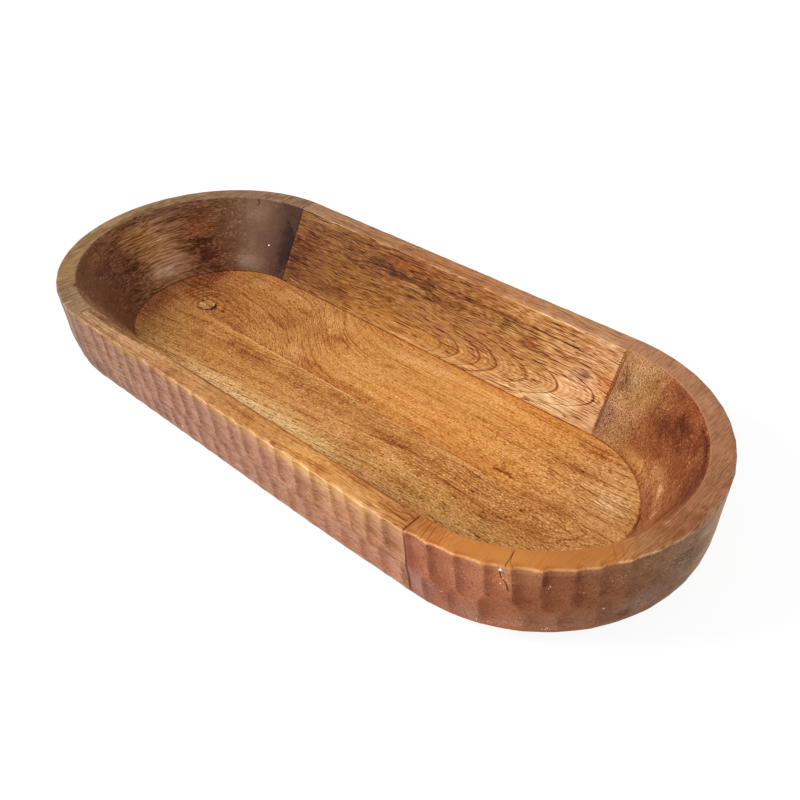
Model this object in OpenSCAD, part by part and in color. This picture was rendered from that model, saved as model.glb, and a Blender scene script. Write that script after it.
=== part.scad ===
// Oblong dough bowl of stained hardwood: a flat floor of two boards let into a ring
// of two straight rails, two round ends, a corner piece and a small corner filler.
// The glued joints of the ring are held by dowels that no face shows.
// +X runs along the bowl, the front rail lies at -Y, and the bowl stands on z = 0.

/* [Outline] */
// Width of the bowl across the outside of its rim
bowl_w = 262; // [230:1:300]
// Distance between the centres of the two round ends
end_span = 348; // [280:1:420]
// Height of the rim above the table
bowl_h = 72; // [62:1:84]

/* [Wall] */
// Width of the flat rim between the inner and the outer edge
rim_t = 16.5; // [12:0.5:22]
// Half width of the floor that shows inside the walls
floor_r = 77.5; // [68:0.5:86]
// Lean of the outside wall, in degrees from upright
wall_lean = 4; // [1:0.5:7]
// Rounding of the bottom edge outside
foot_round = 20; // [12:1:24]
// Rounding of the outer edge of the rim
rim_round = 2; // [1:0.25:4]
// Rounding of the inner edge of the rim
lip_round = 1; // [0.5:0.25:2]

/* [Floor boards] */
// Thickness of the floor boards
board_t = 12; // [8:0.5:16]
// Depth of the rebate that takes the edge of the floor
rebate_d = 8; // [5:0.5:12]
// Glue gap round the edge of the floor
board_gap = 0.2; // [0.1:0.05:0.4]
// Distance from the bowl's middle forward to the joint between the two floor boards
floor_joint = 7.5; // [0:0.5:20]

/* [Ring joints] */
// Degrees that the front rail runs on round the left end
front_wrap_angle = 4; // [1:0.5:7]
// Degrees that the back rail runs on round the left end
back_wrap_angle = 2.5; // [1:0.5:7]
// Degrees of the left end taken up by the front corner piece
front_corner_angle = 21; // [14:1:28]
// Degrees of the left end's rim taken up by the filler in its back corner
back_filler_angle = 13.5; // [9:0.5:20]
// Height of the filler in the back corner, down from the rim at the rail's joint
filler_h = 27; // [18:1:30]

/* [Dowels] */
// Diameter of a dowel
dowel_d = 8; // [6:0.5:10]
// Depth that a dowel goes into each of the pieces that it joins
dowel_bite = 18; // [12:1:24]
// Play between a dowel and its hole, all round
dowel_play = 0.1; // [0.05:0.05:0.2]
// Depth left empty beyond each end of a dowel, for glue
dowel_end_gap = 0.6; // [0.2:0.1:0.9]

/* [Hidden] */
$fn = 144;

// Straight steps in each rounding of the wall's section
round_steps = 8;
// Heights of the lower and upper dowels, as shares of the wall above the board
lower_level_share = 0.15;
upper_level_share = 0.45;

rim_r = bowl_w / 2;
lip_r = rim_r - rim_t;
end_x = end_span / 2;
board_r = floor_r + rebate_d;
lower_z = board_t + lower_level_share * (bowl_h - board_t);
upper_z = board_t + upper_level_share * (bowl_h - board_t);

// Angles of the joints, seen from above and counted from +X about each end's centre
back_seam = 90 + back_wrap_angle;
back_filler_seam = back_seam + back_filler_angle;
front_seam = 270 - front_wrap_angle;
front_corner_seam = front_seam - front_corner_angle;

rim_c = [rim_r - rim_round, bowl_h - rim_round];
// Radius of the outside wall at height z, between the two roundings
function outer_r(z) = rim_c[0] + rim_round / cos(wall_lean) - (rim_c[1] - z) * tan(wall_lean);
// Radius of the inside wall at height z
function inner_r(z) = floor_r + (lip_r - floor_r) * (z - board_t) / (bowl_h - board_t);
// Points on an arc round centre c, from angle a to angle b
function arc(c, r, a, b) = [
    for (i = [0:round_steps])
        let (t = a + (b - a) * i / round_steps)
        [c[0] + r * cos(t), c[1] + r * sin(t)]
];

// Lean of the inside wall, in degrees from upright
inner_lean = atan2(lip_r - floor_r, bowl_h - board_t);
foot_c = [outer_r(foot_round) - foot_round / cos(wall_lean), foot_round];
lip_c = [inner_r(bowl_h - lip_round) + lip_round / cos(inner_lean), bowl_h - lip_round];

// Section of the wall, with radius to the right and height up
wall_section = concat(
    [
        [board_r + board_gap, 0],
        [board_r + board_gap, board_t],
        [floor_r, board_t]
    ],
    arc(lip_c, lip_round, 180 - inner_lean, 90),
    arc(rim_c, rim_round, 90, -wall_lean),
    arc(foot_c, foot_round, -wall_lean, -90)
);

// A dowel's site: centre of its round end, angle of its middle, and angle of the corner
// piece that it crosses
left_front_site = [-end_x, front_seam - front_corner_angle / 2, front_corner_angle];
left_back_site = [-end_x, back_seam, 0];
right_front_site = [end_x, -90, 0];
right_back_site = [end_x, 90, 0];
dowel_sites = [left_front_site, left_back_site, right_front_site, right_back_site];

// Radius midway through the wall at height z
function mid_r(z) = (inner_r(z) + outer_r(z)) / 2;
// Half the length of a dowel that crosses a corner piece of the given angle
function dowel_half(z, angle) = mid_r(z) * tan(angle / 2) + dowel_bite;
// Radius of a dowel's middle, drawn in by half of what the round wall leaves it
function dowel_r(z, angle) = mid_r(z) - pow(dowel_half(z, angle), 2) / (4 * mid_r(z));

// Solid cylinder along a dowel's axis
module dowel_pin(site, z, d, extra) {
    half = dowel_half(z, site[2]) + extra;
    translate([site[0], 0, z])
        rotate([0, 0, site[1]])
            translate([dowel_r(z, site[2]), 0, 0])
                rotate([90, 0, 0])
                    cylinder(h = 2 * half, d = d, center = true);
}

module dowel(site, z) {
    color([0.80, 0.63, 0.42])
        dowel_pin(site, z, dowel_d, 0);
}

module dowel_holes() {
    for (site = dowel_sites, z = [lower_z, upper_z])
        dowel_pin(site, z, dowel_d + 2 * dowel_play, dowel_end_gap);
}

// Part of a round end's wall, between two angles about the centre at x = x_c
module wall_arc(x_c, a, b) {
    translate([x_c, 0, 0])
        rotate([0, 0, a])
            rotate_extrude(angle = b - a)
                polygon(wall_section);
}

// Straight wall between the two ends, with its outside towards +Y
module wall_straight() {
    translate([-end_x, 0, 0])
        rotate([90, 0, 90])
            linear_extrude(height = end_span)
                polygon(wall_section);
}

// The whole floor, with its edge in the rebate
module floor_slab() {
    linear_extrude(height = board_t)
        union() {
            square([end_span, 2 * board_r], center = true);
            translate([-end_x, 0])
                circle(r = board_r);
            translate([end_x, 0])
                circle(r = board_r);
        }
}

// Space on one side of the joint between the floor boards: side is 1 behind it, -1 before it
module floor_side(side) {
    translate([0, side * board_r - floor_joint, 0])
        cube([2 * end_span + 2 * board_r, 2 * board_r, 3 * board_t], center = true);
}

module floor_front_board() {
    color([0.72, 0.45, 0.20])
        intersection() {
            floor_slab();
            floor_side(-1);
        }
}

module floor_back_board() {
    color([0.74, 0.44, 0.18])
        intersection() {
            floor_slab();
            floor_side(1);
        }
}

// Straight wall at +Y with the few degrees that it runs on round the left end
module rail(wrap) {
    wall_straight();
    wall_arc(-end_x, 90, 90 + wrap);
}

module front_rail() {
    color([0.76, 0.50, 0.28])
        difference() {
            mirror([0, 1, 0])
                rail(front_wrap_angle);
            dowel_holes();
        }
}

module back_rail() {
    color([0.66, 0.40, 0.20])
        difference() {
            rail(back_wrap_angle);
            dowel_holes();
        }
}

// Space above the sloping cut that takes the filler, open towards the back rail
module filler_space() {
    run = lip_r * tan(back_filler_angle);
    reach = 2 * rim_r;
    translate([-end_x, 0, bowl_h])
        rotate([0, 0, back_filler_seam])
            rotate([atan2(filler_h, run), 0, 0])
                translate([0, -reach, 0])
                    cube([reach, reach, reach]);
}

module left_end_block() {
    color([0.42, 0.28, 0.20])
        difference() {
            wall_arc(-end_x, back_seam, front_corner_seam);
            filler_space();
            dowel_holes();
        }
}

module left_back_filler() {
    color([0.46, 0.32, 0.22])
        difference() {
            intersection() {
                wall_arc(-end_x, back_seam, back_filler_seam);
                filler_space();
            }
            dowel_holes();
        }
}

module left_front_corner() {
    color([0.52, 0.38, 0.25])
        difference() {
            wall_arc(-end_x, front_corner_seam, front_seam);
            dowel_holes();
        }
}

module right_end_block() {
    color([0.58, 0.36, 0.24])
        difference() {
            wall_arc(end_x, -90, 90);
            dowel_holes();
        }
}

floor_front_board();
floor_back_board();
front_rail();
back_rail();
left_end_block();
right_end_block();
left_front_corner();
left_back_filler();
dowel(left_front_site, lower_z);  // dowel_left_front_lower
dowel(left_front_site, upper_z);  // dowel_left_front_upper
dowel(left_back_site, lower_z);  // dowel_left_back_lower
dowel(left_back_site, upper_z);  // dowel_left_back_upper
dowel(right_front_site, lower_z);  // dowel_right_front_lower
dowel(right_front_site, upper_z);  // dowel_right_front_upper
dowel(right_back_site, lower_z);  // dowel_right_back_lower
dowel(right_back_site, upper_z);  // dowel_right_back_upper
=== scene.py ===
"""Dough bowl of glued hardwood, dressed round its CAD frame.

Lengths are in metres and angles in degrees. +X runs along the bowl, the front rail lies at -Y and
the bowl stands on z = 0. "Perimeter" is the way round the outside of the rim, counted from the
joint at the right end's front and first round the right end, then along the back.
"""

import math

import bmesh
import bpy
import numpy as np
from mathutils import Matrix, Vector


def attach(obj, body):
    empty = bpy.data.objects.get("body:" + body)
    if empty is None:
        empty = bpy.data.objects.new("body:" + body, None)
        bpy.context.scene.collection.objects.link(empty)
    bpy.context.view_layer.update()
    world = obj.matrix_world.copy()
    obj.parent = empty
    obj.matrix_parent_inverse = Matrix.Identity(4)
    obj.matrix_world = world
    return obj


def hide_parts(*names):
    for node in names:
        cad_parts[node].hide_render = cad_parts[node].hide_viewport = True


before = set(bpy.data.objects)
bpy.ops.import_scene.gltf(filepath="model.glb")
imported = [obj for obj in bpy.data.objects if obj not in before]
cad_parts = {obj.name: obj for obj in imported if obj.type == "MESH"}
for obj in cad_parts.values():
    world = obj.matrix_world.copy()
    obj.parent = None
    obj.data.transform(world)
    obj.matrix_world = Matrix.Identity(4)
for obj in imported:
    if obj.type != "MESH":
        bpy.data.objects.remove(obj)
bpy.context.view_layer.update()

# The bowl's sizes, as in the CAD model
RIM_R = 0.131
END_X = 0.174
BOWL_H = 0.072
RIM_T = 0.0165
FLOOR_R = 0.0775
WALL_LEAN = 4.0
FOOT_ROUND = 0.020
RIM_ROUND = 0.002
LIP_ROUND = 0.001
BOARD_T = 0.012
BOARD_R = 0.0855
BOARD_GAP = 0.0002
FLOOR_JOINT_Y = -0.0075
FILLER_H = 0.027
LIP_R = RIM_R - RIM_T

# Joints of the left end, as angles about its centre
BACK_SEAM = 92.5
BACK_FILLER_SEAM = 106.0
FRONT_CORNER_SEAM = 245.0
FRONT_SEAM = 266.0

SEED = 7
rng = np.random.default_rng(SEED)


# Camera

LENS = 42.86
SENSOR_WIDTH = 36
CAMERA_AZIMUTH = 44.117
CAMERA_ELEVATION = 38.311
CAMERA_ROLL = -2.142
CAMERA_DISTANCE = 0.7796
CAMERA_TARGET = Vector((0.02471, 0.02527, 0.0))


def add_camera():
    az, el, roll = (math.radians(v) for v in (CAMERA_AZIMUTH, CAMERA_ELEVATION, CAMERA_ROLL))
    back = Vector((math.sin(az) * math.cos(el), -math.cos(az) * math.cos(el), math.sin(el)))
    level = back.cross(Vector((0, 0, -1))).normalized()
    upward = level.cross(-back)
    right = level * math.cos(roll) + upward * math.sin(roll)
    up = upward * math.cos(roll) - level * math.sin(roll)
    camera = bpy.data.objects.new("camera", bpy.data.cameras.new("camera"))
    camera.data.lens = LENS
    camera.data.sensor_width = SENSOR_WIDTH
    turn = Matrix((right, up, back)).transposed().to_4x4()
    camera.matrix_world = Matrix.Translation(CAMERA_TARGET + back * CAMERA_DISTANCE) @ turn
    bpy.context.collection.objects.link(camera)
    bpy.context.scene.camera = camera


# Section of the wall

TAN_LEAN = math.tan(math.radians(WALL_LEAN))
COS_LEAN = math.cos(math.radians(WALL_LEAN))
RIM_C = (RIM_R - RIM_ROUND, BOWL_H - RIM_ROUND)
INNER_LEAN = math.degrees(math.atan2(LIP_R - FLOOR_R, BOWL_H - BOARD_T))


def outer_r(z):
    return RIM_C[0] + RIM_ROUND / COS_LEAN - (RIM_C[1] - z) * TAN_LEAN


def inner_r(z):
    return FLOOR_R + (LIP_R - FLOOR_R) * (z - BOARD_T) / (BOWL_H - BOARD_T)


FOOT_C = (outer_r(FOOT_ROUND) - FOOT_ROUND / COS_LEAN, FOOT_ROUND)
LIP_C = (
    inner_r(BOWL_H - LIP_ROUND) + LIP_ROUND / math.cos(math.radians(INNER_LEAN)),
    BOWL_H - LIP_ROUND,
)

# Steps between points of the section, and the shadow groove where the wall meets the floor
OUTER_STEP = 0.0013
INNER_STEP = 0.003
REBATE_STEP = 0.006
ROUND_STEPS = 5
FLOOR_GROOVE_H = 0.0004
FLOOR_GROOVE_D = 0.0007
# Width of the rim that takes part of the carving's depth
RIM_TAKE = 0.004


def arc(centre, radius, a, b, steps):
    turns = np.radians(np.linspace(a, b, steps + 1))
    return [(centre[0] + radius * math.cos(t), centre[1] + radius * math.sin(t)) for t in turns]


def line(p, q, step):
    """Points from p towards q, without q."""
    count = max(1, round(math.dist(p, q) / step))
    return [tuple(np.add(p, np.subtract(q, p) * i / count)) for i in range(count)]


def wall_section():
    """The closed section as points (radius, height), clockwise from the rim's outer edge down.

    Returns the points, the distance of each down the outside from the rim's top, and how much
    of the carving it takes: 1 on the outside, less inwards over the rim, and 0 elsewhere.
    """
    rim = arc(RIM_C, RIM_ROUND, 90, -WALL_LEAN, ROUND_STEPS)
    foot_steps = round(FOOT_ROUND * math.radians(90 - WALL_LEAN) / OUTER_STEP)
    foot = arc(FOOT_C, FOOT_ROUND, -WALL_LEAN, -90, foot_steps)
    outside = rim[:-1] + line(rim[-1], foot[0], OUTER_STEP) + foot
    lip = arc(LIP_C, LIP_ROUND, 180 - INNER_LEAN, 90, ROUND_STEPS)
    edge = (BOARD_R + BOARD_GAP, 0)
    shelf = (edge[0], BOARD_T)
    groove = (FLOOR_R + FLOOR_GROOVE_D, BOARD_T)
    below = line(foot[-1], edge, 4 * INNER_STEP)[1:] + line(edge, shelf, REBATE_STEP)
    ledge = line(shelf, groove, REBATE_STEP) + [groove]
    inside = line((FLOOR_R, BOARD_T + FLOOR_GROOVE_H), lip[0], INNER_STEP) + lip
    top = line(lip[-1], rim[0], INNER_STEP / 2)[1:]
    points = np.array(outside + below + ledge + inside + top)
    down = np.zeros(len(points))
    steps = np.hypot(*np.diff(np.array(outside), axis=0).T)
    down[: len(outside)] = np.concatenate([[0], np.cumsum(steps)])
    takes = np.zeros(len(points))
    takes[: len(outside)] = 1
    takes[-len(top) :] = np.clip(1 - (rim[0][0] - points[-len(top) :, 0]) / RIM_TAKE, 0, 1)
    return points, down, takes


SECTION, DOWN, TAKES = wall_section()


def outward(points):
    """Outward normals of a closed section that runs clockwise."""
    tangent = np.roll(points, -1, axis=0) - np.roll(points, 1, axis=0)
    normal = np.stack([-tangent[:, 1], tangent[:, 0]], axis=1)
    return normal / np.linalg.norm(normal, axis=1, keepdims=True)


NORMALS = outward(SECTION)


# Carving: two rows of gouge cuts down the outside, each cut steep at its left and easing out to
# its right. The front and the near side of the right end carry the cuts that show plainly, given
# by the ridges between them; the rest follow at about the same pitch.

PERIMETER = 2 * math.pi * RIM_R + 4 * END_X
BACK_START = math.pi * RIM_R
BACK_END = BACK_START + 2 * END_X
FRONT_START = PERIMETER - 2 * END_X

CUT_PITCH = 0.0172
CUT_REACH = 0.57
CUT_SPAN = 2.5
CUT_SKEW = -0.42
CUT_END = 0.012
CUT_OVERLAP = 0.003
RIDGE_SOFT = 0.0005
ROW_MEET = 0.036
UPPER_DEPTH = 0.0016
LOWER_DEPTH = 0.0013
# How far the cuts differ in pitch, in depth, in lean and in where their row ends
PITCH_RANGE = (0.85, 1.15)
DEPTH_RANGE = (0.8, 1.15)
LEAN_RANGE = (-0.08, 0.12)
ROW_RANGE = (-0.0055, 0.0055)
# Painted shade on a cut's steep left side: its middle and width in half widths of the cut, and
# where it ends in lengths of the cut's end
PAINTED_SHADE_MIDDLE = -0.74
PAINTED_SHADE_WIDTH = 0.55
PAINTED_SHADE_END = 1.4
FOOT_FADE = (0.050, 0.070)
RIM_FADE = 0.0045
# The cuts run out through the rim between these angles, and by the least share elsewhere
RIM_OPENS = (-92, -84)
RIM_CLOSES = (-20, 10)
RIM_LEAST = 0.1

# Ridges along the front rail in mm from the bowl's middle, then round the right end in degrees
UPPER_FRONT = (
    -162, -146, -131, -117, -99, -82, -63, -47, -30, -12, 7, 22, 40, 57.5, 75.5, 92, 110, 125, 141, 156
)
UPPER_RIGHT = (-89, -82, -74, -66, -58.5, -51, -42.5, -36, -28, -20, -12, -4)
LOWER_FRONT = (
    -156, -143, -130, -118, -107, -95, -83, -70, -54, -37, -20, -4, 13, 30, 46, 62.5, 77, 97, 115,
    132.6, 150, 166,
)
LOWER_RIGHT = (-86, -77, -67, -56, -46, -36, -26, -17.5, -9)


def round_end(angle):
    """The perimeter that an angle takes up on a round end."""
    return RIM_R * math.radians(angle)


def rise(value, low, high):
    """0 below low, 1 above high and a straight line between."""
    return np.clip((value - low) / (high - low), 0, 1)


def share_at(place, stops):
    """Height, at a place on the perimeter, of the broken line through stops (place, height)."""
    return np.interp(place % PERIMETER, *zip(*stops))


# Share of the cuts' depth: most round the right end's front, least at the far ends
BITE_STOPS = (
    (0.0, 0.95), (round_end(55), 1.0), (round_end(85), 0.45), (BACK_START, 0.7),
    (FRONT_START - 0.26, 0.7), (FRONT_START - 0.12, 0.35), (FRONT_START, 0.6),
    (FRONT_START + 0.12, 0.9), (PERIMETER - 0.03, 0.75), (PERIMETER, 0.95),
)
# Share of the foot's extra rounding: most round the left end, none on the front's right
SAND_STOPS = (
    (0.0, 0.3), (round_end(40), 0.2), (round_end(55), 0.1), (round_end(80), 0.1),
    (BACK_START, 0.3), (BACK_END - 0.05, 0.3), (BACK_END, 0.75), (FRONT_START, 1.0),
    (FRONT_START + 0.03, 0.9), (FRONT_START + 0.13, 0.45), (FRONT_START + 0.20, 0.1),
    (FRONT_START + 0.28, 0.0), (FRONT_START + 0.33, 0.25), (PERIMETER, 0.3),
)


def make_cuts(front, right, depth):
    """Cuts round the perimeter, as columns: place, half width, depth, lean and row's edge."""
    ridges = [x / 1000 - END_X for x in front]
    ridges += [round_end(angle + 90) for angle in right]
    gap = PERIMETER + ridges[0] - ridges[-1]
    steps = rng.uniform(*PITCH_RANGE, round(gap / CUT_PITCH))
    ridges = np.array(ridges + list(ridges[-1] + gap * np.cumsum(steps) / steps.sum()))
    width = np.diff(ridges)
    count = len(width)
    columns = [
        (ridges[1:] + ridges[:-1]) / 2,
        width * CUT_REACH,
        depth * rng.uniform(*DEPTH_RANGE, count) * np.sqrt(width / CUT_PITCH),
        rng.uniform(*LEAN_RANGE, count),
        ROW_MEET + rng.uniform(*ROW_RANGE, count),
    ]
    return np.stack(columns, axis=1)


UPPER_CUTS = make_cuts(UPPER_FRONT, UPPER_RIGHT, UPPER_DEPTH)
LOWER_CUTS = make_cuts(LOWER_FRONT, LOWER_RIGHT, LOWER_DEPTH)


def rim_share(place, down):
    """How far the cuts run out through the rim: fully at the right end's front, little elsewhere."""
    angle = np.degrees(place / RIM_R) - 90
    at_right = rise(angle, *RIM_OPENS) * (1 - rise(angle, *RIM_CLOSES))
    open_share = RIM_LEAST + (1 - RIM_LEAST) * at_right
    return open_share + (1 - open_share) * rise(down, 0, RIM_FADE)


def carve(place, down):
    """Depth of the carving, and a painted shade on its steep left sides, 0 to 1, for arrays of perimeter
    places and distances down the outside. A smooth maximum joins the cuts, so that no ridge is sharp."""
    shape = np.broadcast(place, down).shape
    depth, painted_shade = np.zeros(shape), np.zeros(shape)
    for cuts, upper in ((UPPER_CUTS, True), (LOWER_CUTS, False)):
        for centre, half, deep, lean, edge in cuts:
            off = place - centre
            off = off - PERIMETER * np.round(off / PERIMETER)
            near = np.abs(off[:, 0]) < CUT_SPAN * half
            if not near.any():
                continue
            across = (off[near] - lean * (down - ROW_MEET / 2)) / half
            past = down - (edge + CUT_OVERLAP) if upper else (edge - CUT_OVERLAP) - down
            end = np.clip((past + CUT_END) / CUT_END, 0, None)
            side = np.where(across > CUT_SKEW, 1 - CUT_SKEW, 1 + CUT_SKEW)
            hollow = 1 - ((across - CUT_SKEW) / side) ** 2 - end**2
            gain = deep * hollow - depth[near]
            meet = np.clip(RIDGE_SOFT - np.abs(gain), 0, None) ** 2 / (4 * RIDGE_SOFT)
            depth[near] = depth[near] + np.maximum(gain, 0) + meet
            # Painted shade on the cut's steep left side, fading where the cut ends
            left = np.exp(-(((across - PAINTED_SHADE_MIDDLE) / PAINTED_SHADE_WIDTH) ** 2)) * np.clip(PAINTED_SHADE_END - end, 0, 1)
            painted_shade[near] = np.where(gain > 0, left, painted_shade[near])
    fade = (1 - rise(down, *FOOT_FADE)) * share_at(place, BITE_STOPS)
    return depth * fade * rim_share(place, down), painted_shade * fade


# Wall pieces: the section swept past stations, each a centre along X and an angle

STATION_STEP = 0.0012
SEAM_CUT = 0.0003
SAND_TOP = 0.034
SAND_CURVE = 1.25
SAND_DEPTH = 0.0045
# Middle and width of the worn band under the rim, lightened as wear and as a painted highlight,
# and the stretch where cuts go straight in
ARRIS_WEAR_AND_HIGHLIGHT = (0.0016, 0.0009)
STRAIGHT_IN = 1.5 * RIM_ROUND

# The drying crack across the right end's rim and down its outside, and the stations along it
CRACK_ANGLE = -59.5
CRACK_REACH = 2.2
CRACK_STEP = 0.00035
CRACK_WIDTH = 0.0005
CRACK_DEPTH = 0.0006
CRACK_DROP = 0.030
# How it strays from its angle, in degrees: across the rim by a lean about a middle and a wave,
# and down the outside by a lean about a middle and a kink at a depth
RIM_LEAN = 1.1
RIM_MIDDLE = 0.45
RIM_WAVE = 0.35
RIM_WAVES = 7
SIDE_START = 1.0
SIDE_LEAN = 2.4
SIDE_MIDDLE = 0.55
KINK = 2.6
KINK_PLACE = 0.004
KINK_REACH = 0.006
# Depth below the rim's top that still counts as the rim
CRACK_RIM = 0.0005

# The break in the rim's inner edge, beside the joint of the front corner piece
NOTCH_ANGLE = FRONT_CORNER_SEAM - 1.0
NOTCH_REACH = 0.0032
NOTCH_DEPTH = 0.0016

MERGE_REACH = 0.00001
SHARP_ANGLE = 32


def arc_stations(x_c, a, b):
    """Stations round an end, from angle a to angle b, closer together along the crack."""
    turns = list(np.linspace(a, b, max(2, round(round_end(abs(b - a)) / STATION_STEP))))
    if x_c > 0:
        lo, hi = CRACK_ANGLE - CRACK_REACH, CRACK_ANGLE + CRACK_REACH
        turns = [t for t in turns if not lo < t < hi]
        turns += list(np.arange(lo, hi, math.degrees(CRACK_STEP / RIM_R)))
    return [(x_c, t) for t in sorted(turns)]


def line_stations(x_a, x_b, angle):
    count = max(2, round(abs(x_b - x_a) / STATION_STEP))
    return [(x, angle) for x in np.linspace(x_a, x_b, count)]


def perimeter_place(station):
    """Place of a station along the perimeter."""
    x, angle = station
    if x >= END_X:
        return round_end(angle + 90)
    if x <= -END_X:
        return BACK_END + round_end(angle % 360 - 90)
    if angle == 90:
        return BACK_START + END_X - x
    return FRONT_START + x + END_X


def crack_depth(angles):
    """Depth of the crack for angles round the right end: over the rim, then down the outside."""
    over = np.clip((SECTION[:, 0] - LIP_R) / RIM_T, 0, 1)
    across = RIM_LEAN * (over - RIM_MIDDLE) + RIM_WAVE * np.sin(RIM_WAVES * over)
    fall = rise(DOWN, 0, CRACK_DROP)
    kink = KINK * np.exp(-(((DOWN - KINK_PLACE) / KINK_REACH) ** 2))
    side = SIDE_START - kink + SIDE_LEAN * (fall - SIDE_MIDDLE)
    outside = DOWN > RIM_ROUND
    path = CRACK_ANGLE + np.where(outside, side, across)
    offset = np.radians(angles[:, None] - path[None, :]) * RIM_R
    on_rim = (SECTION[:, 1] > BOWL_H - CRACK_RIM) | outside
    strength = np.where(on_rim, 1 - fall, 0)
    return CRACK_DEPTH * strength[None, :] * np.clip(1 - np.abs(offset) / CRACK_WIDTH, 0, 1)


def notch_depth(angles):
    """Depth of the notch for angles round the left end."""
    along = np.radians(angles[:, None] - NOTCH_ANGLE) * LIP_R
    off = np.hypot(along, np.hypot(SECTION[:, 0] - LIP_R, SECTION[:, 1] - BOWL_H)[None, :])
    return NOTCH_DEPTH * np.clip(1 - (off / NOTCH_REACH) ** 2, 0, 1)


def closed_mesh(name, rings, cap):
    """Mesh through closed rings of points (ring, point, xyz). cap lists the faces that close the
    first ring, by the places of their points in it; the last ring is closed alike."""
    count, columns = rings.shape[:2]
    last = (count - 1) * columns
    faces = cap + [tuple(last + i for i in reversed(face)) for face in cap]
    for near in range(0, last, columns):
        far = near + columns
        for j in range(columns):
            k = (j + 1) % columns
            faces.append((near + j, near + k, far + k, far + j))
    mesh = bpy.data.meshes.new(name)
    mesh.from_pydata(rings.reshape(-1, 3).tolist(), [], faces)
    return mesh


def ease_ends(stations):
    """Adds a station just inside each end, so that only the last sliver is eased."""
    share = SEAM_CUT / STATION_STEP

    def inside(end, next_one):
        return tuple(np.add(end, np.subtract(next_one, end) * share))

    first = inside(stations[0], stations[1])
    last = inside(stations[-1], stations[-2])
    return [stations[0], first] + stations[1:-1] + [last, stations[-1]]


def sweep(name, stations, notched):
    """Mesh of one wall piece, carved outside, with eased edges where it meets the next piece."""
    stations = ease_ends(stations)
    places = np.array([perimeter_place(s) for s in stations])[:, None]
    centre, angles = np.array(stations).T
    depth, painted_shade = carve(places, DOWN[None, :])
    normal = NORMALS.copy()
    # Near the rim the cuts go straight in, which makes its edge wavy
    normal[(DOWN < STRAIGHT_IN) & (TAKES > 0)] = (1, 0)
    sunk = np.zeros(depth.shape)
    sunk[[0, -1]] = SEAM_CUT
    if centre[0] >= END_X:
        sunk += crack_depth(angles)
    if notched:
        sunk += notch_depth(angles)
    offset = (depth * TAKES)[:, :, None] * normal + sunk[:, :, None] * NORMALS
    radius = SECTION[:, 0] - offset[:, :, 0]
    height = np.clip(SECTION[:, 1] - offset[:, :, 1], 0, BOWL_H)
    low = np.clip(1 - height / SAND_TOP, 0, 1) ** SAND_CURVE * (TAKES > 0)
    radius = radius - SAND_DEPTH * share_at(places, SAND_STOPS) * low
    turn = np.radians(angles)[:, None]
    x = centre[:, None] + radius * np.cos(turn)
    rings = np.stack([x, radius * np.sin(turn), height], axis=2)
    mesh = closed_mesh(name, rings, [tuple(range(len(SECTION)))])
    # Painted shade on the cuts' steep sides, and wear with a painted highlight on the arris
    wear_and_highlight = np.exp(-(((DOWN - ARRIS_WEAR_AND_HIGHLIGHT[0]) / ARRIS_WEAR_AND_HIGHLIGHT[1]) ** 2)) * (TAKES > 0)
    for key, values in (("painted_shade", painted_shade * TAKES), ("wear_and_highlight", np.tile(wear_and_highlight, (len(stations), 1)))):
        attribute = mesh.attributes.new(key, "FLOAT", "POINT")
        attribute.data.foreach_set("value", values.reshape(-1))
    return mesh


def cut_by_filler_plane(mesh, keep_above):
    """Cuts a mesh along the sloping joint of the filler and closes it."""
    angle = math.radians(BACK_FILLER_SEAM)
    radial = Vector((math.cos(angle), math.sin(angle), 0))
    across = Vector((math.sin(angle), -math.cos(angle), 0))
    run = LIP_R * math.tan(math.radians(BACK_FILLER_SEAM - BACK_SEAM))
    slope = (across - Vector((0, 0, FILLER_H / run))).normalized()
    normal = radial.cross(slope).normalized()
    if normal.z < 0:
        normal = -normal
    work = bmesh.new()
    work.from_mesh(mesh)
    cut = bmesh.ops.bisect_plane(
        work,
        geom=list(work.verts) + list(work.edges) + list(work.faces),
        dist=MERGE_REACH,
        plane_co=Vector((-END_X, 0, BOWL_H)),
        plane_no=normal,
        clear_outer=not keep_above,
        clear_inner=keep_above,
    )
    edges = [g for g in cut["geom_cut"] if isinstance(g, bmesh.types.BMEdge)]
    bmesh.ops.edgeloop_fill(work, edges=edges)
    work.to_mesh(mesh)
    work.free()


# Floor boards

# The knot's middle and radii along and across the board, how far it has sunk, and the split
# that has opened round it
KNOT = (-0.1985, 0.0025)
KNOT_R = (0.0066, 0.0078)
KNOT_SINK = 0.0004
SINK_REACH = 1.6
SPLIT_DEPTH = 0.0012
SPLIT_R = 1.02
SPLIT_WIDTH = 0.16
SPLIT_TURN = 0.25

BOARD_STEP = 0.0016
BOARD_EASE = 0.0003
END_RINGS = 60
LANES = 62


def board_reach(x):
    """Half the width of the floor, with its edge in the rebate, at x."""
    past = max(0.0, abs(x) - END_X)
    return math.sqrt(max(0.0, BOARD_R**2 - past**2))


def board_relief(x, y):
    """Height of the board's top over its nominal plane: the knot has sunk and split round."""
    r = np.hypot((x - KNOT[0]) / KNOT_R[0], (y - KNOT[1]) / KNOT_R[1])
    side = np.maximum(0, np.cos(np.arctan2(y - KNOT[1], x - KNOT[0]) + SPLIT_TURN))
    split = side * np.maximum(0, 1 - np.abs(r - SPLIT_R) / SPLIT_WIDTH)
    return -KNOT_SINK * np.exp(-((r / SINK_REACH) ** 2)) - SPLIT_DEPTH * split


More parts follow.
